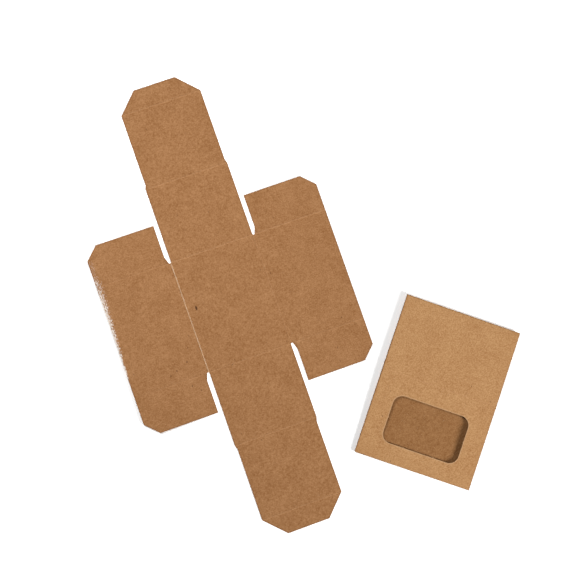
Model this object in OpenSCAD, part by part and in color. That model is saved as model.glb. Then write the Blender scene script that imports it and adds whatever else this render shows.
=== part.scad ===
// Flat-packed gift box: a die-cut tray blank and a folded window sleeve, side by side on a table

/* [Card] */
// Thickness of the card
card_t = 0.4; // [0.25:0.05:0.8]
// Width of a pressed crease
crease_w = 0.9; // [0.6:0.1:1.6]
// Height of a crease's bead, and depth of its groove
crease_h = 0.12; // [0.05:0.01:0.2]
// Distance by which a crease stops short of a cut edge
crease_end = 0.5; // [0.3:0.1:2]

/* [Tray walls] */
// Length of the floor, along the strip
floor_l = 76; // [50:1:140]
// Width of the floor
floor_w = 57; // [40:1:110]
// Height of the walls
wall_h = 50.8; // [35:0.2:90]
// Extra height of an inner end wall, for rolling over the rim
roll_allow = 0.5; // [0:0.1:2]
// Distance of an end wall's cut edge inside the wing crease
end_relief = 0.2; // [0.1:0.05:0.5]
// Distance of an inner wall's cut edge inside the end wall's
inner_relief = 0.85; // [0.4:0.05:2]
// Length of the slope from one cut edge to the other
step_l = 2.6; // [1:0.2:6]
// Length of the tab below an inner wall
tab_l = 13.6; // [6:0.2:18]
// Width taken off each corner of a tab
tab_chamfer = 13.2; // [2:0.2:15]

/* [Corner flaps] */
// Length of a corner flap
flap_l = 26.6; // [14:0.2:28]
// Size of the cut across a flap's outer corner
flap_chamfer = 8.5; // [2:0.5:11]
// Width of the slot between a flap and an end wall
slot_w = 3; // [2.4:0.1:5]
// Radius of the slot's closed end
slot_tip_r = 0.75; // [0.6:0.05:1.15]
// Depth by which the slot passes the floor's end crease
slot_tip_depth = 0.3; // [0.1:0.05:0.55]
// Length over which the slot narrows to its closed end
slot_taper_l = 4.6; // [2:0.2:10]

/* [Wings as laid] */
// Angle by which the left wing lifts at its crease
left_lift = 2; // [0:0.1:8]
// Angle by which the right wing lifts at its crease
right_lift = 0.8; // [0:0.1:8]

/* [Sleeve] */
// Room between the folded tray and the sleeve
sleeve_clear = 0.5; // [0.1:0.1:2]
// Distance by which the sleeve passes each end of the tray
sleeve_overhang = 1.5; // [0:0.1:6]
// Inside radius of the two folded edges
fold_r = 0.9; // [0.2:0.05:1.4]
// Angle by which the flattened sleeve springs open
spring = 1.5; // [0.5:0.1:6]
// Width of the glue flap
glue_l = 12.7; // [6:0.1:20]
// Length over which the glue flap steps up inside the seam
seam_step = 1.2; // [0.8:0.1:3]
// Gap at the seam, past that step
seam_gap = 0.2; // [0.1:0.05:1]

/* [Window] */
// Card left beyond the window at each open end
window_end_margin = 13.5; // [8:0.25:18]
// Card left between the window and the wide panel's creases
window_side_margin = 13.05; // [8:0.05:14]
// Radius of the window's corners
window_r = 6.35; // [2:0.05:8]
// Width of a nick left on the window's edge by the die
nick_w = 0.7; // [0.3:0.05:1.5]
// Height of a nick
nick_h = 0.35; // [0.1:0.05:0.8]
// Distance between the two nicks on the long edge
nick_pitch = 21; // [8:0.5:24]

/* [Layout] */
// Gap between the sleeve's corner and the line along the blank's lower right side
lay_gap = 2.9; // [0.5:0.1:30]
// Distance of the sleeve's corner along that line, from the inner end wall's corner
lay_slide = 27; // [0:0.1:80]
// Angle at which the sleeve turns away from that line
lay_turn = 6.6; // [0:0.1:40]

/* [Hidden] */
$fn = 64;
kraft_inside = "#ac7b52";
kraft_outside = "#bf9462";

// Crease section: a round rule of this radius leaves the bead and the groove
crease_r = (pow(crease_w / 2, 2) + pow(crease_h, 2)) / (2 * crease_h);

// Tray blank, half-sizes and places along the strip
floor_x = floor_w / 2;
floor_y = floor_l / 2;
end_x = floor_x - end_relief;
inner_x = end_x - inner_relief;
rim_y = floor_y + wall_h;
inner_y = rim_y + wall_h + roll_allow;
tab_y = inner_y + tab_l;
tab_x = inner_x - tab_chamfer;
flap_y = floor_y + flap_l;

// Slot, measured out from the wing crease
slot_edge = slot_w - end_relief;
slot_tip_u = slot_tip_r - end_relief / 2;
slot_tip_y = floor_y - slot_tip_depth + slot_tip_r;
slot_taper_y = floor_y + slot_taper_l;

// Sleeve panels from crease to crease, sized to pass over the folded tray
wide_panel = floor_w + 2 * card_t + sleeve_clear;
side_panel = wall_h + 1.5 * card_t + sleeve_clear;
sleeve_l = floor_l + card_t + 2 * sleeve_overhang;

// Sleeve section, with Y from the lower fold to the upper one: the fold takes up part of each panel beside it
fold_mid_r = fold_r + card_t / 2;
fold_out_r = fold_r + card_t;
fold_share = fold_mid_r * (180 - spring) * PI / 360;
wide_run = wide_panel - fold_share;
side_run = side_panel - fold_share;
spring_normal = [-sin(spring), cos(spring)];
low_fold = [fold_out_r, fold_out_r];
seam = [fold_out_r + side_run, card_t / 2];
top_fold = seam + wide_run * [cos(spring), sin(spring)] + fold_mid_r * spring_normal;
front_crease = top_fold + [-side_run, fold_mid_r];

// Window
window_l = sleeve_l - 2 * window_end_margin;
window_h = wide_panel - 2 * window_side_margin;
corner_r = min(window_r, window_l / 2 - nick_w, window_h / 2 - nick_w);

// Layout: the line from the inner end wall's corner to the wing's lower corner, and the sleeve's corner beside it
line_foot = [inner_x, -inner_y];
line_end = [floor_x + wall_h, flap_chamfer - flap_y];
line_run = (line_end - line_foot) / norm(line_end - line_foot);
line_out = [line_run[1], -line_run[0]];
sleeve_corner = line_foot + lay_slide * line_run + lay_gap * line_out;
sleeve_turn = atan2(line_run[1], line_run[0]) - lay_turn - 90;

// Points turned half round, for outlines that are the same at both ends
function turned(points) = [for (p = points) -p];

// Points mirrored to the other end, in the order that closes an outline
function other_end(points) = [for (i = [len(points) - 1:-1:0]) [points[i][0], -points[i][1]]];

function rotated(p, angle) = [p[0] * cos(angle) - p[1] * sin(angle), p[0] * sin(angle) + p[1] * cos(angle)];

// Floor, outer end walls, inner end walls and tabs
module strip_outline() {
    right_side = [
        [floor_x, floor_y - slot_tip_depth],
        [end_x, floor_y - slot_tip_depth / 2],
        [end_x, rim_y],
        [inner_x, rim_y + step_l],
        [inner_x, inner_y],
        [tab_x, tab_y]
    ];
    left_side = other_end(turned(right_side));
    polygon(concat(right_side, left_side, turned(right_side), turned(left_side)));
}

// One side wall and its two corner flaps, measured out from the wing crease
module wing_outline() {
    upper_end = [
        [wall_h, flap_y - flap_chamfer],
        [wall_h - flap_chamfer, flap_y],
        [slot_edge, flap_y],
        [slot_edge, slot_taper_y],
        [slot_tip_u + slot_tip_r, slot_tip_y],
        [slot_tip_u, slot_tip_y],
        [slot_tip_u, floor_y],
        [-crease_w / 2, floor_y]
    ];
    difference() {
        polygon(concat(upper_end, other_end(upper_end)));
        for (end = [-1, 1])
            translate([slot_tip_u, end * slot_tip_y])
                circle(slot_tip_r);
    }
}

// Places a wing at its crease, lifted as it lies
module at_wing(side) {
    lift = side < 0 ? left_lift : right_lift;
    mirror([side < 0 ? 1 : 0, 0, 0])
        translate([floor_x, 0, 0])
            rotate([0, -lift, 0])
                children();
}

// A crease's raised bead on the upper face, along X
module crease_bead(length) {
    rotate([90, 0, 90])
        linear_extrude(length, center = true)
            intersection() {
                translate([0, card_t + crease_h - crease_r])
                    circle(crease_r);
                translate([-crease_w, card_t / 2])
                    square([2 * crease_w, card_t]);
            }
}

// A crease's groove in the lower face, along X
module crease_groove(length) {
    translate([0, 0, crease_h - crease_r])
        rotate([0, 90, 0])
            cylinder(r = crease_r, h = length, center = true);
}

// Repeats a crease shape on every crease of the strip
module on_strip_creases() {
    for (crease = [[floor_y, floor_x], [rim_y, end_x], [inner_y, inner_x]])
        for (end = [-1, 1])
            translate([0, end * crease[0], 0]) {
                $crease_length = 2 * (crease[1] - crease_end);
                children();
            }
}

// Repeats a crease shape on both wing creases
module on_wing_creases() {
    for (side = [-1, 1])
        translate([side * floor_x, 0, 0])
            rotate([0, 0, 90]) {
                $crease_length = 2 * (floor_y - slot_tip_depth - crease_end);
                children();
            }
}

// Repeats a crease shape on a wing's two flap creases
module on_flap_creases() {
    inner_end = slot_tip_u + slot_tip_r + crease_end;
    for (end = [-1, 1])
        translate([(inner_end + wall_h - crease_end) / 2, end * floor_y, 0]) {
            $crease_length = wall_h - crease_end - inner_end;
            children();
        }
}

// Trims away what a lifted wing's root would push into the table
module above_table() {
    reach = 2 * (tab_y + floor_x + wall_h);
    intersection() {
        children();
        translate([-reach / 2, -reach / 2, 0])
            cube([reach, reach, reach]);
    }
}

module tray_blank() {
    color(kraft_inside)
        difference() {
            union() {
                linear_extrude(card_t)
                    strip_outline();
                on_strip_creases()
                    crease_bead($crease_length);
                for (side = [-1, 1])
                    above_table()
                        at_wing(side) {
                            linear_extrude(card_t)
                                wing_outline();
                            on_flap_creases()
                                crease_bead($crease_length);
                        }
                on_wing_creases()
                    crease_bead($crease_length);
            }
            on_strip_creases()
                crease_groove($crease_length);
            on_wing_creases()
                crease_groove($crease_length);
            for (side = [-1, 1])
                at_wing(side)
                    on_flap_creases()
                        crease_groove($crease_length);
        }
}

// The sleeve's section filled out to one face of the card, which turns with this radius at the folds
module filled_section(radius) {
    out = radius - fold_mid_r;
    front_side = [
        low_fold + radius * spring_normal,
        front_crease + out * [-tan(spring / 2), 1],
        top_fold + [0, radius]
    ];
    back_side = [for (p = front_side) low_fold + top_fold - p];
    polygon(concat(front_side, back_side));
    for (fold = [low_fold, top_fold])
        translate(fold)
            circle(radius);
}

// Places a shape at the seam, with X from the wide panel's crease towards the lower fold
module at_seam() {
    translate(seam)
        mirror([1, 0])
            children();
}

// The end of the wide panel, its step up, and the glue flap pressed onto the side panel's inner face
module glue_flap_section() {
    step = seam_step / 2;
    bond = card_t / 8;
    polygon([
        rotated([-seam_step, bond - card_t / 2], -spring),
        rotated([-seam_step, card_t / 2 - bond], -spring),
        [step, 1.5 * card_t],
        [glue_l, 1.5 * card_t],
        [glue_l, card_t / 2 - bond],
        [step, card_t / 2 - bond]
    ]);
}

// The closed section of the sleeve
module sleeve_section() {
    difference() {
        filled_section(fold_out_r);
        filled_section(fold_r);
        at_seam()
            translate([-seam_step / 2, -card_t])
                square([seam_step + seam_gap, 2 * card_t]);
    }
    at_seam()
        glue_flap_section();
}

// The window's opening, with the die's nicks left standing on three of its edges
module window_outline() {
    difference() {
        union() {
            translate([-window_l / 2, corner_r - window_h / 2])
                square([window_l, window_h - 2 * corner_r]);
            translate([corner_r - window_l / 2, -window_h / 2])
                square([window_l - 2 * corner_r, window_h]);
            for (x = [-1, 1], y = [-1, 1])
                translate([x * (window_l / 2 - corner_r), y * (window_h / 2 - corner_r)])
                    circle(corner_r);
        }
        for (x = [-1, 1])
            translate([x * window_l / 2, 0])
                square([2 * nick_h, nick_w], center = true);
        for (x = [-1, 1])
            translate([x * nick_pitch / 2, -window_h / 2])
                square([nick_w, 2 * nick_h], center = true);
    }
}

// Places a shape on the front crease, at the middle of the tube's length
module at_front_crease() {
    translate([sleeve_l / 2, front_crease[0], front_crease[1]])
        children();
}

// The sleeve with its lower left corner at the origin and its tube along X
module sleeve_at_corner() {
    crease_length = sleeve_l - 2 * crease_end;
    difference() {
        union() {
            rotate([90, 0, 90])
                linear_extrude(sleeve_l)
                    sleeve_section();
            at_front_crease()
                translate([0, 0, card_t / 2])
                    mirror([0, 0, 1])
                        crease_bead(crease_length);
        }
        at_front_crease()
            translate([0, 0, card_t / 2])
                mirror([0, 0, 1])
                    crease_groove(crease_length);
        at_front_crease()
            rotate([spring, 0, 0])
                translate([0, -wide_panel / 2, -card_t])
                    linear_extrude(2 * card_t)
                        window_outline();
    }
}

module sleeve() {
    color(kraft_outside)
        translate([sleeve_corner[0], sleeve_corner[1], 0])
            rotate([0, 0, sleeve_turn])
                sleeve_at_corner();
}

tray_blank();
sleeve();
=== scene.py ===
# %% [markdown]
# # A gift box, delivered flat
#
# The box comes in two pieces of brown kraft card. One is a die-cut blank that folds up into a drawer tray,
# the other a sleeve that is already glued to a tube and pressed flat. The solids of both come from the
# imported frame, so this lesson is about what the solids lack: the card itself. It makes the card's grain, its
# two different faces, the paler lines where it was creased, a painted highlight along one edge, painted shade
# on the rims of cuts and inside the sleeve, and the loose fibres on it.

# %% Load the frame
import math
from collections import namedtuple
from functools import reduce

import bmesh
import bpy
from mathutils import Matrix, Vector


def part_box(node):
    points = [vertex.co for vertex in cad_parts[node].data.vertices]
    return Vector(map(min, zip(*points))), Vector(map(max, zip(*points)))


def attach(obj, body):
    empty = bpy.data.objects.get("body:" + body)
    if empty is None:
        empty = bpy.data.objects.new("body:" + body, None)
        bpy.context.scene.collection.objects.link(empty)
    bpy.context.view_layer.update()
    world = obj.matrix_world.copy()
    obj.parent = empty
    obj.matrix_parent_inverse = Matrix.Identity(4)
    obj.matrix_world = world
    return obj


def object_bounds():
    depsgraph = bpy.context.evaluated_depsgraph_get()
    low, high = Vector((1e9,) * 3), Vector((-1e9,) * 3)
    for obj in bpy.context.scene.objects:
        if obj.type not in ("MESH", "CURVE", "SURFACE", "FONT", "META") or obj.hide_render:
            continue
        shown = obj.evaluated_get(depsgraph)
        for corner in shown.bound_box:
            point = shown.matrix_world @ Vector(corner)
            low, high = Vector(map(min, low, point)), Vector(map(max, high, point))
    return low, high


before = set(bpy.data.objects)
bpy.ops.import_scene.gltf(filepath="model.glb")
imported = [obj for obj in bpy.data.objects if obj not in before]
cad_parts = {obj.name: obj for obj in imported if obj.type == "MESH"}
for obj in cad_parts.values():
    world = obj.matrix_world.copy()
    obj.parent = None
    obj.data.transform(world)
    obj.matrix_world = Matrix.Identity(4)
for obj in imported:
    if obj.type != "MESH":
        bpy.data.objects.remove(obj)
cad_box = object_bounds()
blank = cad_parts["tray_blank"]
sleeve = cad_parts["sleeve"]
MM = 0.001

box_in_mm = [[round(v / MM, 1) for v in corner] for corner in cad_box]
print("frame loaded:", sorted(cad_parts), "box in mm:", box_in_mm)

# %% [markdown]
# ## Node sums in Python
#
# A procedural material is mostly arithmetic, and wiring dozens of Math nodes by hand hides the formula. This
# small class wraps a socket and lets Python's own operators add the nodes, so a mask can be written as a sum.
# Every other node comes from one method, which sets the node's options first and then fills its sockets. The
# same method builds Geometry Nodes further down.

# %% A socket that does sums
class Wire:
    def __init__(self, tree, socket=None):
        self.tree = tree
        self.socket = socket

    def node(self, kind, settings, sockets, out=0):
        made = self.tree.nodes.new(kind)
        for name, value in settings.items():
            setattr(made, name, value)
        for key, value in sockets.items():
            if isinstance(value, Wire):
                self.tree.links.new(value.socket, made.inputs[key])
            else:
                made.inputs[key].default_value = value
        return Wire(self.tree, made.outputs[out])

    def other(self, out):
        return Wire(self.tree, self.socket.node.outputs[out])

    def sum(self, operation, *values):
        return self.node("ShaderNodeMath", {"operation": operation}, dict(enumerate(values)))

    def __add__(self, other):
        return self.sum("ADD", self, other)

    def __sub__(self, other):
        return self.sum("SUBTRACT", self, other)

    def __rsub__(self, other):
        return self.sum("SUBTRACT", other, self)

    def __mul__(self, other):
        return self.sum("MULTIPLY", self, other)

    def __truediv__(self, other):
        return self.sum("DIVIDE", self, other)

    def __abs__(self):
        return self.sum("ABSOLUTE", self)

    def __gt__(self, other):
        return self.sum("GREATER_THAN", self, other)

    def __lt__(self, other):
        return self.sum("LESS_THAN", self, other)

    __radd__ = __add__
    __rmul__ = __mul__

    def least(self, *others):
        return reduce(lambda a, b: a.sum("MINIMUM", a, b), others, self)

    def most(self, *others):
        return reduce(lambda a, b: a.sum("MAXIMUM", a, b), others, self)

    def fade(self, start, end):
        sockets = {"Value": self, "From Min": start, "From Max": end}
        return self.node("ShaderNodeMapRange", {"interpolation_type": "SMOOTHSTEP"}, sockets)

    def mix(self, off, on):
        return self.node("ShaderNodeMix", {"data_type": "RGBA"}, {0: self, 6: off, 7: on}, out=2)

    def noise(self, size, detail=2.0, stretch=(1, 1, 1), turn=0.0, shift=0.0):
        turned = {"Vector": self, "Location": (shift, shift, 0), "Rotation": (0, 0, turn), "Scale": stretch}
        place = self.node("ShaderNodeMapping", {}, turned)
        return self.node("ShaderNodeTexNoise", {}, {"Vector": place, "Scale": 1 / size, "Detail": detail})


print("node sums ready:", Wire.__name__)

# %% [markdown]
# ## Grain of kraft card
#
# Kraft card is unbleached pulp. Close up it is a felt of fibres with darker clouds where the pulp was thick,
# short pale fibres in every direction, and a few dark slivers of bark. A photo texture would repeat and would
# not follow the solids, so the grain is made of noise at several sizes. Noise that is stretched one way gives
# fibres, and only its crests are kept. A cell pattern with a random threshold gives the rare dark slivers.
# Sizes are in millimetres.

# %% Streaks and slivers
STREAK = 0.5
STREAK_STRETCH = (0.16, 1.6, 1)
STREAK_CREST = (0.60, 0.74)
SLIVER_STRETCH = (2.6, 1, 1)
SLIVER_EDGE = (0.16, 0.07)


def streaks(place, turn, shift):
    return place.noise(STREAK, 1.0, STREAK_STRETCH, turn, shift).fade(*STREAK_CREST)


def slivers(place, size, turn, share):
    turned = {"Vector": place, "Rotation": (0, 0, turn), "Scale": SLIVER_STRETCH}
    laid = place.node("ShaderNodeMapping", {}, turned)
    cells = laid.node("ShaderNodeTexVoronoi", {}, {"Vector": laid, "Scale": 1 / size, "Randomness": 1.0})
    chosen = cells.node("ShaderNodeSeparateColor", {}, {0: cells.other("Color")})
    return cells.fade(*SLIVER_EDGE) * (chosen < share)


def strongest(wires):
    return reduce(Wire.most, wires)


print("streaks about", STREAK / STREAK_STRETCH[0], "mm long and", STREAK / STREAK_STRETCH[1], "mm wide")

# %% Grain
MIDDLE = 0.5
CLOUD = 16.0
MOTTLE = 2.4
SPECKLE = 0.85
PALE_STREAKS = ((0.5, 1.0), (1.6, 5.0), (2.5, 9.0))
DARK_STREAKS = ((1.0, 21.0), (2.9, 25.0))
BARK_SLIVERS = ((5.0, 0.4, 0.05), (3.0, 1.9, 0.03))
COARSE = {"cloud": 0.45, "mottle": 0.6}
FINE = {"speckle": 1.15, "pale": 0.16, "dark": -0.14}
RELIEF = {"speckle": 0.5, "mottle": 0.4, "pale": 0.5, "dark": -0.2}


def blended(parts, shares):
    return reduce(Wire.__add__, [parts[name] * share for name, share in shares.items()])


def grain(place):
    parts = {
        "cloud": place.noise(CLOUD, 2.0) - MIDDLE,
        "mottle": place.noise(MOTTLE, 3.0, shift=7.0) - MIDDLE,
        "speckle": place.noise(SPECKLE, 1.0, shift=3.0) - MIDDLE,
        "pale": strongest(streaks(place, *one) for one in PALE_STREAKS),
        "dark": strongest(streaks(place, *one) for one in DARK_STREAKS),
    }
    bark = strongest(slivers(place, *one) for one in BARK_SLIVERS)
    return blended(parts, COARSE), blended(parts, FINE), bark, blended(parts, RELIEF)


print("coarse grain:", COARSE, "fine grain:", FINE, "relief:", RELIEF)

# %% [markdown]
# ## Colours of the card
#
# The card is not the same on both sides. The inner face, which the blank shows, is a redder brown. The outer
# face, which the sleeve shows, is paler and smoother. A crease is paler than the face around it, and a torn
# fibre paler still. The near-white along the left wing's edge and the pale rim round the sleeve's window are
# painted highlights. The sleeve's darker inside is painted shade, and the dark rim of a cut is partly painted
# shade. The colours are written here as a camera would give them and turned to Blender's linear values. The
# grain's dark end is redder and its pale end greyer, so each colour channel has its own spread.

# %% Colours
def linear(red, green, blue):
    def one(level):
        level /= 255
        return level / 12.92 if level <= 0.04045 else ((level + 0.055) / 1.055) ** 2.4
    return (one(red), one(green), one(blue), 1.0)


def shades(colour, spread):
    def shifted(way):
        return tuple(channel * (1 + way * part) for channel, part in zip(colour, spread)) + (1.0,)
    return shifted(-1), shifted(1)


INNER = linear(169, 120, 77)
# The sleeve's inner face is a darker copy of the inner brown: painted shade inside the flat tube.
INSIDE_SHADED = linear(156, 110, 67)
OUTER = linear(190, 142, 94)
CUT = linear(176, 130, 88)
BARK = linear(84, 52, 30)
CREASED = linear(204, 155, 112)
# This pale is also the painted highlight round the sleeve's window.
TORN_AND_HIGHLIGHT = linear(228, 193, 155)
# Near-white, used for the painted highlight on the left wing's edge and for the palest fibres.
HIGHLIGHT_AND_FIBRE_WHITE = linear(247, 238, 229)
# Dark rim of a cut: partly pressed by the cutting rule, partly painted shade along the edge.
PRESSED_AND_SHADED = linear(138, 94, 56)
INNER_SPREAD = (0.32, 0.43, 0.61)
OUTER_SPREAD = (0.27, 0.39, 0.52)
CUT_SPREAD = (0.25, 0.30, 0.40)

print("inner face", [round(c, 3) for c in INNER[:3]], "outer face", [round(c, 3) for c in OUTER[:3]])

# %% [markdown]
# ## One card material for both pieces
#
# Both pieces are the same card, so one function builds both materials. Each piece says where its outer face
# is, how far a point is from the nearest cut edge, and which marks lie on it. A mark is a mask and a colour,
# and the marks are laid one over the other. The rim of each cut is painted darker: partly the rim that the
# cutting rule pressed down, partly painted shade along the edge, which on the sleeve runs along its open ends.
# The cut edges themselves are found by the way they face: on a sheet that lies flat, only a cut looks
# sideways. A pair such as (0.3, 0.4) means a share that is always there, and a share that a second mask adds
# to it.

# %% Starting and wearing a material
CARD_SHINE = 0.15


def new_material(name):
    material = bpy.data.materials.new(name)
    material.use_nodes = True
    shader = material.node_tree.nodes["Principled BSDF"]
    shader.inputs["Specular IOR Level"].default_value = CARD_SHINE
    coords = Wire(material.node_tree).node("ShaderNodeTexCoord", {}, {}, out="Object")
    place = coords.node("ShaderNodeVectorMath", {"operation": "SCALE"}, {0: coords, "Scale": 1 / MM})
    return material, shader, place


def plug(node, wires):
    for socket, wire in wires.items():
        wire.tree.links.new(wire.socket, node.inputs[socket])


def topped_up(shares, mask):
    always, added = shares
    return always + mask * added


def dress(piece, material):
    piece.data.materials.clear()
    piece.data.materials.append(material)
    print(piece.name, "wears", material.name, "with", len(material.node_tree.nodes), "nodes")


print("card shine:", CARD_SHINE)

# %% The card material
OUTER_COARSE = 0.8
OUTER_FINE = 1.08
BARK_SHOWS = 0.8
ROUGH = 0.9
ROUGH_PATCHES = (0.3, 0.7)
PRESSED_AND_SHADED_REACH = (1.1, 0.2)
PRESSED_AND_SHADED_SHOWS = (0.3, 0.4)
PRESSED_AND_SHADED_LESS_OUTSIDE = 0.5
CUT_FACING = (0.6, 0.4)
PLY = 0.35
PLY_STRETCH = (0.3, 0.3, 3.0)
ROUGHNESS = 0.78
ROUGHNESS_SWING = 0.25
OUTER_SMOOTHER = 0.08
BUMP_STRENGTH = 0.25
BUMP_DEPTH = 0.1


def card_material(name, inner_colour, masks):
    material, shader, place = new_material(name)
    normal = place.node("ShaderNodeNewGeometry", {}, {}, out="Normal")
    facing = normal.node("ShaderNodeSeparateXYZ", {}, {0: normal}, out="Z")
    outer, inset, marks = masks(place, facing)

    coarse, fine, bark, relief = grain(place)
    inner_tone = MIDDLE + coarse + fine
    outer_tone = MIDDLE + coarse * OUTER_COARSE + fine * OUTER_FINE
    inner_face = inner_tone.mix(*shades(inner_colour, INNER_SPREAD))
    outer_face = outer_tone.mix(*shades(OUTER, OUTER_SPREAD))
    faces = outer.mix(inner_face, outer_face)
    rough = place.noise(ROUGH, 2.0, shift=13.0)
    # Darker rim along every cut edge: partly the pressed rim, partly painted edge shade.
    rim = inset.fade(*PRESSED_AND_SHADED_REACH) * topped_up(PRESSED_AND_SHADED_SHOWS, rough.fade(*ROUGH_PATCHES))
    pressed_and_shaded_rim = rim * (1 - outer * PRESSED_AND_SHADED_LESS_OUTSIDE)
    for mask, colour in [(bark * BARK_SHOWS, BARK), (pressed_and_shaded_rim, PRESSED_AND_SHADED)] + marks:
        faces = mask.mix(faces, colour)

    cut = abs(facing).fade(*CUT_FACING)
    plies = place.noise(PLY, 2.0, PLY_STRETCH)
    colour = cut.mix(faces, plies.mix(*shades(CUT, CUT_SPREAD)))
    roughness = ROUGHNESS + (rough - MIDDLE) * ROUGHNESS_SWING - outer * OUTER_SMOOTHER
    dents = {"Height": relief, "Strength": BUMP_STRENGTH, "Distance": BUMP_DEPTH * MM}
    bump = place.node("ShaderNodeBump", {}, dents)
    plug(shader, {"Base Color": colour, "Roughness": roughness, "Normal": bump})
    return material


print("card material: roughness about", ROUGHNESS, "and dents of", BUMP_DEPTH, "mm")

# %% [markdown]
# ## Places on the blank
#
# A crease is a straight line, so a few sizes of the blank, in millimetres, are enough to find every one of
# them. The blank is symmetrical, so the absolute values of x and y fold all four quarters onto one, and each
# crease needs one line of sums. The distance to the nearest cut edge is worked out in the same way: the strip
# of floor, end walls and tabs is one outline, each wing with its corner flaps is another, and the two are put
# together.

# %% Sizes of the blank
FLOOR_X = 57 / 2
FLOOR_Y = 76 / 2
WALL = 50.8
RIM_Y = FLOOR_Y + WALL
INNER_Y = RIM_Y + WALL + 0.5
END_X = FLOOR_X - 0.2
INNER_X = END_X - 0.85
FLAP_Y = FLOOR_Y + 26.6
FLAP_CUT = 8.5
SLOT = 2.8
SLOT_END = 1.4

blank_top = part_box("tray_blank")[1][1] / MM
print(f"blank: creases at y {FLOOR_Y}, {RIM_Y:.1f} and {INNER_Y:.1f} mm, end at {blank_top:.1f} mm")

# %% Cut edges of the blank
CORNER_SLANT = 0.7


def blank_inset(side, end, out):
    narrow = END_X - (end > RIM_Y) * (END_X - INNER_X)
    tab_corner = (INNER_X + INNER_Y - side - end) * CORNER_SLANT
    strip_side = (narrow - side).least(blank_top - end, tab_corner)
    flap_corner = (WALL + FLAP_Y - FLAP_CUT - out - end) * CORNER_SLANT
    wing_side = (WALL - out).least(FLAP_Y - end, flap_corner)
    past_slot = out - SLOT + (end < FLOOR_Y) * WALL
    return strip_side.most(wing_side.least(past_slot))


print(f"cut edges: wings out to x {FLOOR_X + WALL} mm, flaps up to y {FLAP_Y:.1f} mm")

# %% [markdown]
# ## Marks on the blank
#
# The card's fibres crack a little along a crease and catch the light, a little more in the upper half. The
# left wing was bent up and down again, so its crease is torn to a pale line. Along its outer edge a highlight
# is painted nearly white: the painted highlight is widest at the top, and it breaks up into streaks as it
# thins out. Some dark specks lie on the card. Each has a place, half a width and half a height.

# %% Creases
CREASE = 0.8
FLOOR_CREASE = (0.26, 0.14)
RIM_CREASE = (0.30, 0.05)
TAB_CREASE = 0.34
FLAP_CREASE = (0.11, 0.08)
RIGHT_FLAP_CREASE = (0.09, 0.16)
WING_CREASE = 0.22


def line(distance, width):
    return distance.fade(width, 0.0)


def blank_creases(side, end, out, right, upper):
    floor_line = line(abs(end - FLOOR_Y), CREASE)
    rim_line = line(abs(end - RIM_Y), CREASE)
    tab_line = line(abs(end - INNER_Y), CREASE)
    floor_and_rim = floor_line * topped_up(FLOOR_CREASE, upper) + rim_line * topped_up(RIM_CREASE, upper)
    strip = floor_and_rim + tab_line * TAB_CREASE
    flaps = floor_line * (topped_up(FLAP_CREASE, upper) + right * topped_up(RIGHT_FLAP_CREASE, upper))
    wings = line(abs(out), CREASE) * (end < FLOOR_Y) * WING_CREASE
    return (side < END_X) * strip + (out > SLOT_END) * flaps + wings


print("creases:", 2 * CREASE, "mm wide")

# %% Painted highlight along the left wing's edge
# The left wing's outer edge gets a painted highlight: near-white, widest at the top, broken into streaks as it
# thins.
HIGHLIGHT_END_Y = -36.0
HIGHLIGHT_SLOPE = 0.087
HIGHLIGHT_LEAST = 0.05
HIGHLIGHT_TOP = (62.0, 22.0)
HIGHLIGHT_FOOT = (-38.0, -18.0)
HIGHLIGHT_STREAK = 0.65
HIGHLIGHT_STRETCH = (1.1, 0.45, 1)
HIGHLIGHT_BREAKS = (0.3, 0.7)
HIGHLIGHT_COVER = 1.35
HIGHLIGHT_EDGE = (0.0, 0.7)


def painted_edge_highlight(place, y, from_edge):
    reach = ((y - HIGHLIGHT_END_Y) * HIGHLIGHT_SLOPE).most(HIGHLIGHT_LEAST)
    strength = y.fade(*HIGHLIGHT_TOP) * y.fade(*HIGHLIGHT_FOOT)
    cover = (1 - from_edge / reach) * strength
    broken = place.noise(HIGHLIGHT_STREAK, 3.0, HIGHLIGHT_STRETCH, shift=41.0).fade(*HIGHLIGHT_BREAKS)
    return (cover * HIGHLIGHT_COVER - broken).fade(*HIGHLIGHT_EDGE)


print(f"rubbed edge: up to {(HIGHLIGHT_TOP[1] - HIGHLIGHT_END_Y) * HIGHLIGHT_SLOPE:.1f} mm wide before it fades")

# %% Specks
SPECKS = (
    (-22.5, 4.4, 0.65, 1.5),
    (-39.7, -26.8, 0.5, 0.4),
    (-52.5, -32.0, 0.4, 0.4),
    (-47.8, -30.2, 0.35, 0.45),
    (-41.5, -42.8, 0.4, 0.4),
)
SPECK_EDGE = (1.5, 0.4)


def speck(x, y, at_x, at_y, half_x, half_y):
    across = (x - at_x) / half_x
    along = (y - at_y) / half_y
    return (across * across + along * along).fade(*SPECK_EDGE)


print("specks:", len(SPECKS))

# %% The blank's card
CRACK = 1.4
CRACK_PATCHES = (0.3, 0.62)
CRACKED_SHOWS = (0.5, 0.5)
TORN_CREASE = 0.42
TORN_SHOWS = (0.6, 0.3)
MARK_SHOWS = 0.95


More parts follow.
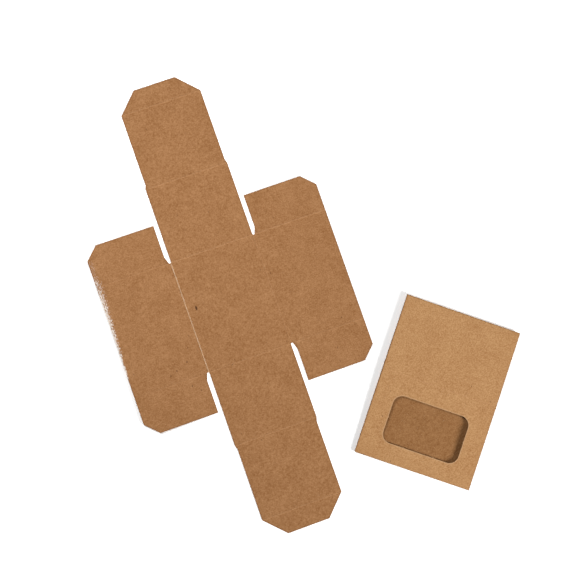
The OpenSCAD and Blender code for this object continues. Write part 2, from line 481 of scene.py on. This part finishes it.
def blank_masks(place, facing):
    split = place.node("ShaderNodeSeparateXYZ", {}, {0: place})
    x, y = split, split.other("Y")
    side, end = abs(x), abs(y)
    out = side - FLOOR_X
    left, right, upper = x < 0.0, x > 0.0, y > 0.0
    on_top = facing > 0.0

    cracks = place.noise(CRACK, 2.0, shift=31.0).fade(*CRACK_PATCHES)
    creased = blank_creases(side, end, out, right, upper) * topped_up(CRACKED_SHOWS, cracks)
    torn = line(abs(out), TORN_CREASE) * (end < FLOOR_Y) * left * topped_up(TORN_SHOWS, cracks)
    specks = strongest(speck(x, y, *one) for one in SPECKS) * on_top * MARK_SHOWS
    # This mark paints a near-white highlight along the left wing's outer edge.
    painted_highlight = painted_edge_highlight(place, y, WALL - out) * left * on_top * MARK_SHOWS
    marks = [(creased, CREASED), (torn, TORN_AND_HIGHLIGHT), (specks, BARK), (painted_highlight, HIGHLIGHT_AND_FIBRE_WHITE)]
    return facing < 0.0, blank_inset(side, end, out), marks


dress(blank, card_material("kraft_card_blank", INNER, blank_masks))

# %% [markdown]
# ## Marks on the sleeve
#
# The sleeve lies turned on the table, and its place is read from the frame: its leftmost point and its lowest
# point are the two corners of its lower fold. Its patterns are drawn in that corner: a Mapping node moves the
# corner to zero and turns the tube onto x. A straight line from one fold to the other parts the upper layer
# from the lower one. A face that looks away from that line is the outer face of the card, and a face that
# looks towards it is the inner one. The window's rim is a band on either side of a rounded rectangle, so the
# mask is the distance to that outline. That rim is painted pale, as a painted highlight.

# %% Place of the sleeve
points = [v.co / MM for v in sleeve.data.vertices]
lower_left = min(points, key=lambda p: p.x)
lower_right = min(points, key=lambda p: p.y)
upper_right = max(points, key=lambda p: p.x)
tube = (lower_right - lower_left).to_2d()
flat = (upper_right - lower_right).to_2d()
sleeve_turn = math.atan2(tube.y, tube.x)
sleeve_top = max(p.z for p in points)

print(f"sleeve: {tube.length:.1f} by {flat.length:.1f} mm, turned {math.degrees(sleeve_turn):.1f} degrees")

# %% Crease and window of the sleeve
FOLD = 1.3
WIDE_PANEL = 58.3
SIDE_PANEL = 51.9
FOLD_TAKES = 1.71
WINDOW_END = 13.5
WINDOW_SIDE = 13.05
WINDOW_R = 6.35

crease_y = flat.length - FOLD - SIDE_PANEL + FOLD_TAKES
window_x = tube.length / 2
window_y = crease_y - WIDE_PANEL / 2


def rounded_outline(past_x, past_y, radius):
    corner_x = past_x.most(0.0)
    corner_y = past_y.most(0.0)
    outside = past_x.sum("SQRT", corner_x * corner_x + corner_y * corner_y)
    return outside + past_x.most(past_y).least(0.0) - radius


def from_window(x, y):
    straight_x = tube.length / 2 - WINDOW_END - WINDOW_R
    straight_y = WIDE_PANEL / 2 - WINDOW_SIDE - WINDOW_R
    past_x = abs(x - window_x) - straight_x
    past_y = abs(y - window_y) - straight_y
    return abs(rounded_outline(past_x, past_y, WINDOW_R))


print(f"sleeve: crease {crease_y:.1f} mm and middle of the window {window_y:.1f} mm from the lower fold")

# %% The sleeve's card
SLEEVE_CRACK = 1.6
SLEEVE_CRACK_PATCHES = (0.35, 0.65)
SLEEVE_CREASE = (0.08, 0.20)
WINDOW_RIM = 1.0
WINDOW_RIM_SHOWS = 0.3


def sleeve_masks(place, facing):
    corner = {"Vector": place, "Location": (*lower_left.xy, 0), "Rotation": (0, 0, sleeve_turn)}
    local = place.node("ShaderNodeMapping", {"vector_type": "TEXTURE"}, corner)
    split = place.node("ShaderNodeSeparateXYZ", {}, {0: local})
    x, y, z = split, split.other("Y"), split.other("Z")

    rise = (sleeve_top - 2 * FOLD) / (flat.length - 2 * FOLD)
    above = z - FOLD - (y - FOLD) * rise
    outer = above * facing > 0.0
    front = outer * (above > 0.0)

    cracks = place.noise(SLEEVE_CRACK, 2.0, shift=31.0).fade(*SLEEVE_CRACK_PATCHES)
    creased = line(abs(y - crease_y), CREASE) * front * topped_up(SLEEVE_CREASE, cracks)
    # The window's rim is painted pale: a painted highlight around the cut.
    rim = line(from_window(x, y), WINDOW_RIM) * front * WINDOW_RIM_SHOWS
    # The inset counts only from the tube's two open ends, so the darker rim, partly painted shade, runs along
    # them.
    inset = x.least(tube.length - x)
    return outer, inset, [(creased, CREASED), (rim, TORN_AND_HIGHLIGHT)]


# The sleeve's inner face takes the darker copy of the inner brown, painted shade for the inside of the tube.
dress(sleeve, card_material("kraft_card_sleeve", INSIDE_SHADED, sleeve_masks))

# %% [markdown]
# ## Loose fibres
#
# Kraft card is never quite smooth. A cut edge has a fringe of fibre ends, long fibres lie loose on the faces,
# and where the card was torn they stand up; pale fibres stand up along the painted highlight on the left
# wing's edge too. Each is a bent thread far too thin to model by hand, and there are thousands, so this is
# work for Geometry Nodes: points are scattered over a surface, and each point gets one thread, turned and
# scaled at random. A thread is a three-sided tube of twenty triangles with closed ends. One tree serves every
# place, because its sizes are inputs.

# %% One fibre
FIBRE_SIDES = 3
FIBRE_STEPS = 3
FIBRE_FACES = FIBRE_SIDES * FIBRE_STEPS + 2
FIBRE_BOW = 0.35
BEND_LIFT = 2
TIP_LIFT = 0.5


def one_fibre(given):
    length, thickness, lift = given.other("Length"), given.other("Thickness"), given.other("Lift")
    foot = given.node("ShaderNodeCombineXYZ", {}, {"X": length * -0.5})
    bend = given.node("ShaderNodeCombineXYZ", {}, {"Y": length * FIBRE_BOW, "Z": lift * BEND_LIFT})
    tip = given.node("ShaderNodeCombineXYZ", {}, {"X": length * 0.5, "Z": lift * TIP_LIFT})
    bow = {"Resolution": FIBRE_STEPS, "Start": foot, "Middle": bend, "End": tip}
    path = given.node("GeometryNodeCurveQuadraticBezier", {}, bow)
    outline = {"Resolution": FIBRE_SIDES, "Radius": thickness * 0.5}
    ring = given.node("GeometryNodeCurvePrimitiveCircle", {}, outline)
    thread = {"Curve": path, "Profile Curve": ring, "Fill Caps": True}
    return given.node("GeometryNodeCurveToMesh", {}, thread)


print("one fibre:", FIBRE_FACES, "faces")

# %% Turn and scale of a fibre
LEAST_SCALE = 0.5
MOST_SCALE = 1.3


def any_turn(given, spots):
    seed, tilt = given.other("Seed"), given.other("Tilt")
    most = given.node("ShaderNodeCombineXYZ", {}, {"X": tilt, "Y": tilt, "Z": math.tau})
    least = given.node("ShaderNodeCombineXYZ", {}, {"X": tilt * -1, "Y": tilt * -1})
    vector = {"data_type": "FLOAT_VECTOR"}
    angles = given.node("FunctionNodeRandomValue", vector, {0: least, 1: most, 8: seed + 1})
    turn = given.node("FunctionNodeEulerToRotation", {}, {0: angles})
    on_card = {"Rotation": spots.other("Rotation"), "Rotate By": turn}
    return given.node("FunctionNodeRotateRotation", {"rotation_space": "LOCAL"}, on_card)


def any_scale(given):
    limits = {2: LEAST_SCALE, 3: MOST_SCALE, 8: given.other("Seed") + 2}
    return given.node("FunctionNodeRandomValue", {"data_type": "FLOAT"}, limits, out=1)


print("fibres are scaled by", LEAST_SCALE, "to", MOST_SCALE)

# %% Fibre tree
FIBRE_INPUTS = {
    "Geometry": "NodeSocketGeometry",
    "Density": "NodeSocketFloat",
    "Length": "NodeSocketFloat",
    "Thickness": "NodeSocketFloat",
    "Lift": "NodeSocketFloat",
    "Tilt": "NodeSocketFloat",
    "Seed": "NodeSocketInt",
    "Material": "NodeSocketMaterial",
}


def fibre_tree():
    tree = bpy.data.node_groups.new("loose_fibres", "GeometryNodeTree")
    tree.interface.new_socket("Geometry", in_out="OUTPUT", socket_type="NodeSocketGeometry")
    for name, kind in FIBRE_INPUTS.items():
        tree.interface.new_socket(name, in_out="INPUT", socket_type=kind)
    given = Wire(tree).node("NodeGroupInput", {}, {})

    scatter = {"Mesh": given, "Density": given.other("Density"), "Seed": given.other("Seed")}
    spots = given.node("GeometryNodeDistributePointsOnFaces", {"distribute_method": "RANDOM"}, scatter)
    laid = {"Instance": one_fibre(given), "Rotation": any_turn(given, spots), "Scale": any_scale(given)}
    threads = given.node("GeometryNodeInstanceOnPoints", {}, {"Points": spots} | laid)
    solid = given.node("GeometryNodeRealizeInstances", {}, {0: threads})
    finish = {"Geometry": solid, "Material": given.other("Material")}
    dressed = given.node("GeometryNodeSetMaterial", {}, finish)
    plug(tree.nodes.new("NodeGroupOutput"), {"Geometry": dressed})
    return tree


fibres = fibre_tree()
print("fibre tree:", len(fibres.nodes), "nodes, inputs:", list(FIBRE_INPUTS))

# %% [markdown]
# ## Where fibres grow
#
# A host is a bare mesh that only says where the points may fall, and it is thrown away afterwards. The faces
# and the cut edges are picked from a merged copy of a solid's mesh by the way they look. A tear, or the strip
# of painted highlight along the left wing's edge, is no face of its own, so there the host is a narrow ribbon
# whose points are dropped onto the card by ray casting.

# %% Hosts on faces and cut edges
MERGE = 0.001
LOOKS_UP = 0.9
LOOKS_SIDEWAYS = 0.3
LOOKS_ALONG = 0.99


def picked_faces(piece, wanted):
    card = bmesh.new()
    card.from_mesh(piece.data)
    bmesh.ops.remove_doubles(card, verts=card.verts, dist=MERGE * MM)
    unwanted = [face for face in card.faces if not wanted(face)]
    bmesh.ops.delete(card, geom=unwanted, context="FACES")
    host = bpy.data.meshes.new(piece.name + "_host")
    card.to_mesh(host)
    card.free()
    return host


def is_upper(face):
    return face.normal.z > LOOKS_UP


def is_cut(face):
    return abs(face.normal.z) < LOOKS_SIDEWAYS


def is_end_cut(face):
    along = face.normal.xy.normalized() @ tube.normalized() if is_cut(face) else 0.0
    return abs(along) > LOOKS_ALONG


blank_faces = picked_faces(blank, is_upper)
blank_cuts = picked_faces(blank, is_cut)
sleeve_faces = picked_faces(sleeve, is_upper)
sleeve_ends = picked_faces(sleeve, is_end_cut)
picked = (blank_faces, blank_cuts, sleeve_faces, sleeve_ends)
print("picked faces:", [len(host.polygons) for host in picked])

# %% Hosts on ribbons
RIBBON_STEPS = 24
DROP_FROM = 0.05
TEAR_Y = 36.5
TEAR_HALF = 0.4
EDGE_X = -FLOOR_X - WALL + 0.15
HIGHLIGHT_FROM_Y = -32.0
HIGHLIGHT_TO_Y = 56.0
HIGHLIGHT_NARROW = 0.3
HIGHLIGHT_WIDENS = 0.03


def ribbon(from_y, to_y, left_x, right_x):
    card = bmesh.new()
    rows = []
    for step in range(RIBBON_STEPS + 1):
        y = from_y + (to_y - from_y) * step / RIBBON_STEPS
        drops = [Vector((x * MM, y * MM, DROP_FROM)) for x in (left_x(y), right_x(y))]
        rows.append([card.verts.new(blank.ray_cast(drop, (0, 0, -1))[1]) for drop in drops])
    for (left, right), (next_left, next_right) in zip(rows, rows[1:]):
        card.faces.new((left, right, next_right, next_left))
    host = bpy.data.meshes.new("ribbon_host")
    card.to_mesh(host)
    card.free()
    return host


def highlight_inner_x(y):
    return EDGE_X + HIGHLIGHT_NARROW + (y - HIGHLIGHT_FROM_Y) * HIGHLIGHT_WIDENS


bpy.context.view_layer.update()
tear = ribbon(-TEAR_Y, TEAR_Y, lambda y: -FLOOR_X - TEAR_HALF, lambda y: -FLOOR_X + TEAR_HALF)
# The second ribbon lies along the painted highlight on the left wing's outer edge.
highlight_ribbon = ribbon(HIGHLIGHT_FROM_Y, HIGHLIGHT_TO_Y, lambda y: EDGE_X, highlight_inner_x)
print("ribbons:", len(tear.polygons), "faces on the tear and", len(highlight_ribbon.polygons), "on the rubbed edge")

# %% [markdown]
# ## Growing the fibres
#
# Each host gets the tree as a modifier. Its inputs are set by their identifiers before anything is evaluated,
# and then the result is turned into a plain mesh, because a modifier's instances would be lost on export. The
# host and the modifier go, and the fibres ride with the card. A fibre is at most a few hundredths of a
# millimetre thick, so from afar it only softens an edge or a tear, and close up it can be seen one by one.
# Sizes are in millimetres, the density in fibres on a square millimetre, and the tilt in degrees.

# %% Colours of fibres
FIBRE_TONE = 1.1
FIBRE_TONE_PATCHES = (0.35, 0.65)
FIBRE_ROUGH = 0.6
FIBRE_ROUGHNESS = (0.75, 0.2)


def fibre_material(name, dark, light):
    material, shader, place = new_material(name)
    tone = place.noise(FIBRE_TONE, 2.0, shift=3.0).fade(*FIBRE_TONE_PATCHES)
    rough = topped_up(FIBRE_ROUGHNESS, place.noise(FIBRE_ROUGH, 1.0, shift=8.0))
    plug(shader, {"Base Color": tone.mix(dark, light), "Roughness": rough})
    return material


inner_fibre = fibre_material("inner_fibre", INNER, CREASED)
outer_fibre = fibre_material("outer_fibre", OUTER, TORN_AND_HIGHLIGHT)
# These pale fibres reach the near-white of the painted highlight.
pale_fibre = fibre_material("pale_fibre", CREASED, HIGHLIGHT_AND_FIBRE_WHITE)
print("fibre colours:", [material.name for material in (inner_fibre, outer_fibre, pale_fibre)])

# %% From a host to a mesh of fibres
def grown_mesh(name, host, inputs):
    carrier = bpy.data.objects.new(name + "_host", host)
    bpy.context.collection.objects.link(carrier)
    growth = carrier.modifiers.new("loose_fibres", "NODES")
    growth.node_group = fibres
    for item in fibres.interface.items_tree:
        if item.in_out == "INPUT" and item.name in inputs:
            growth[item.identifier] = inputs[item.name]
    grown = carrier.evaluated_get(bpy.context.evaluated_depsgraph_get())
    mesh = bpy.data.meshes.new_from_object(grown)
    carrier.modifiers.remove(growth)
    bpy.data.objects.remove(carrier)
    bpy.data.meshes.remove(host)
    return mesh


def grow(name, host, material, fibre, seed):
    inputs = {
        "Density": fibre.density / MM ** 2,
        "Length": fibre.length * MM,
        "Thickness": fibre.thickness * MM,
        "Lift": fibre.lift * MM,
        "Tilt": math.radians(fibre.tilt),
        "Seed": seed,
        "Material": material,
    }
    mesh = grown_mesh(name, host, inputs)
    piece = bpy.data.objects.new(name, mesh)
    bpy.context.collection.objects.link(piece)
    dress(piece, material)
    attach(piece, "root")
    print(name, "has", len(mesh.polygons) // FIBRE_FACES, "fibres")


print("fibres grow by the tree", fibres.name)

# %% Fibres
Fibre = namedtuple("Fibre", "density length thickness lift tilt")
LOOSE = Fibre(density=0.05, length=2.5, thickness=0.04, lift=0.04, tilt=2)
FRINGE = Fibre(density=1.5, length=0.35, thickness=0.04, lift=0.08, tilt=25)
TORN_UP = Fibre(density=8.0, length=0.6, thickness=0.04, lift=0.12, tilt=20)
# Pale fibres stand up along the painted highlight on the left wing's edge.
UP_ON_HIGHLIGHT = Fibre(density=4.0, length=0.9, thickness=0.05, lift=0.08, tilt=12)

grow("blank_loose_fibres", blank_faces, inner_fibre, LOOSE, seed=11)
grow("blank_edge_fringe", blank_cuts, inner_fibre, FRINGE, seed=23)
grow("sleeve_loose_fibres", sleeve_faces, outer_fibre, LOOSE, seed=37)
grow("sleeve_edge_fringe", sleeve_ends, outer_fibre, FRINGE, seed=41)
grow("torn_crease_fibres", tear, pale_fibre, TORN_UP, seed=53)
grow("highlight_edge_fibres", highlight_ribbon, pale_fibre, UP_ON_HIGHLIGHT, seed=67)

# %% [markdown]
# ## Table and background
#
# The pieces lie on a white table. The table has to look white in the picture without more light on the card,
# so to the camera it takes two thirds more light than white paper would, and still shows the pieces' shadows.
# To everything else it is plain white paper. Away from the pieces it turns to plain white, and so does the
# world, so no horizon shows from the side.

# %% Table
TABLE_SIZE = 6.0
TABLE_BELOW = 0.05
TABLE_TAKES = 1.68
TABLE_BOUNCES = 0.8
SHADOW_ROOM = (0.22, 0.36)


def seen_directly(start):
    rays = start.node("ShaderNodeLightPath", {}, {}, out="Is Camera Ray")
    return rays.most(rays.other("Is Glossy Ray"), rays.other("Is Transmission Ray"))


def grey(level):
    return (level, level, level, 1.0)


def table_material():
    material = bpy.data.materials.new("table_white")
    material.use_nodes = True
    tree = material.node_tree
    start = Wire(tree)
    coords = start.node("ShaderNodeTexCoord", {}, {}, out="Object")
    away = coords.node("ShaderNodeVectorMath", {"operation": "LENGTH"}, {0: coords}, out="Value")
    near = start.node("ShaderNodeBsdfDiffuse", {}, {"Color": grey(TABLE_TAKES)})
    plain = start.node("ShaderNodeEmission", {}, {"Color": grey(1.0), "Strength": 1.0})
    shown = start.node("ShaderNodeMixShader", {}, {0: away.fade(*SHADOW_ROOM), 1: near, 2: plain})
    bounce = start.node("ShaderNodeBsdfDiffuse", {}, {"Color": grey(TABLE_BOUNCES)})
    both = start.node("ShaderNodeMixShader", {}, {0: seen_directly(start), 1: bounce, 2: shown})
    plug(tree.nodes["Material Output"], {"Surface": both})
    return material


bpy.ops.mesh.primitive_plane_add(size=TABLE_SIZE, location=(0, 0, -TABLE_BELOW * MM))
table = bpy.context.object
table.name = "white_table"
table.data.materials.append(table_material())
print("table:", table.name, "takes", TABLE_TAKES)

# %% World
WORLD_LIGHT = 0.08

world = bpy.data.worlds.new("studio")
bpy.context.scene.world = world
world.use_nodes = True
strength = WORLD_LIGHT + seen_directly(Wire(world.node_tree)) * (1 - WORLD_LIGHT)
background = world.node_tree.nodes["Background"]
background.inputs["Color"].default_value = grey(1.0)
plug(background, {"Strength": strength})
print("world light:", WORLD_LIGHT)

# %% [markdown]
# ## Camera
#
# The picture was taken from almost straight above. The camera's place comes from four values: how far the
# blank is turned in the picture, two small tilts off the vertical, and the distance. The point of the table
# below the middle of the picture is given in the picture's own right and up directions.

# %% Camera
PICTURE_TURN = math.radians(19.444)
TILT_UP = math.radians(-3.375)
TILT_SIDE = math.radians(3.738)
CAMERA_FAR = 0.7249
BLANK_RIGHT = -0.04044
BLANK_UP = -0.00718
LENS = 67.69
SENSOR = 36

turn_to_picture = Matrix.Rotation(PICTURE_TURN, 3, "Z")
tilts = Matrix.Rotation(TILT_UP, 3, "X") @ Matrix.Rotation(TILT_SIDE, 3, "Y")


def in_picture(right, up, height):
    return turn_to_picture.inverted() @ Vector((right - BLANK_RIGHT, up - BLANK_UP, height))


camera_data = bpy.data.cameras.new("camera")
camera_data.lens = LENS
camera_data.sensor_width = SENSOR
camera = bpy.data.objects.new("camera", camera_data)
bpy.context.collection.objects.link(camera)
camera_place = in_picture(*(tilts.inverted() @ Vector((0, 0, CAMERA_FAR))))
camera_turn = (tilts @ turn_to_picture).inverted()
camera.matrix_world = Matrix.Translation(camera_place) @ camera_turn.to_4x4()
bpy.context.scene.camera = camera
print("camera at", [round(v, 3) for v in camera.location])

# %% [markdown]
# ## Studio light
#
# One soft box stands low on the right, a tall narrow one. It lights the sleeve along its tube, so the sleeve
# throws a narrow shadow to the left, and has a deep soft shadow inside the right end of its window and a thin
# one along the window's lower edge. A second, small soft box hangs above the upper left, lights the rest, and
# draws the thin dark line inside the window's left edge. Their power is kept so low that a card lying flat
# shows about the colour that was written for it. Places are in metres, in the picture's directions.

# %% Soft boxes
def soft_box(name, place, aim, size, power):
    data = bpy.data.lights.new(name, "AREA")
    data.shape = "ELLIPSE"
    data.size, data.size_y = size
    data.energy = power
    box = bpy.data.objects.new(name, data)
    bpy.context.collection.objects.link(box)
    box.location = in_picture(*place)
    looks = in_picture(*aim) - box.location
    box.rotation_euler = looks.to_track_quat("-Z", "Y").to_euler()
    box.visible_camera = False
    print(name, "shines with", power, "watts")


soft_box("soft_box_right", (0.657, -0.432, 0.448), aim=(0.03, -0.03, 0), size=(0.12, 0.45), power=6.6)
soft_box("soft_box_above", (-0.16, 0.14, 0.40), aim=(-0.03, 0.02, 0), size=(0.2, 0.2), power=1.2)
bpy.context.scene.view_settings.view_transform = "Standard"
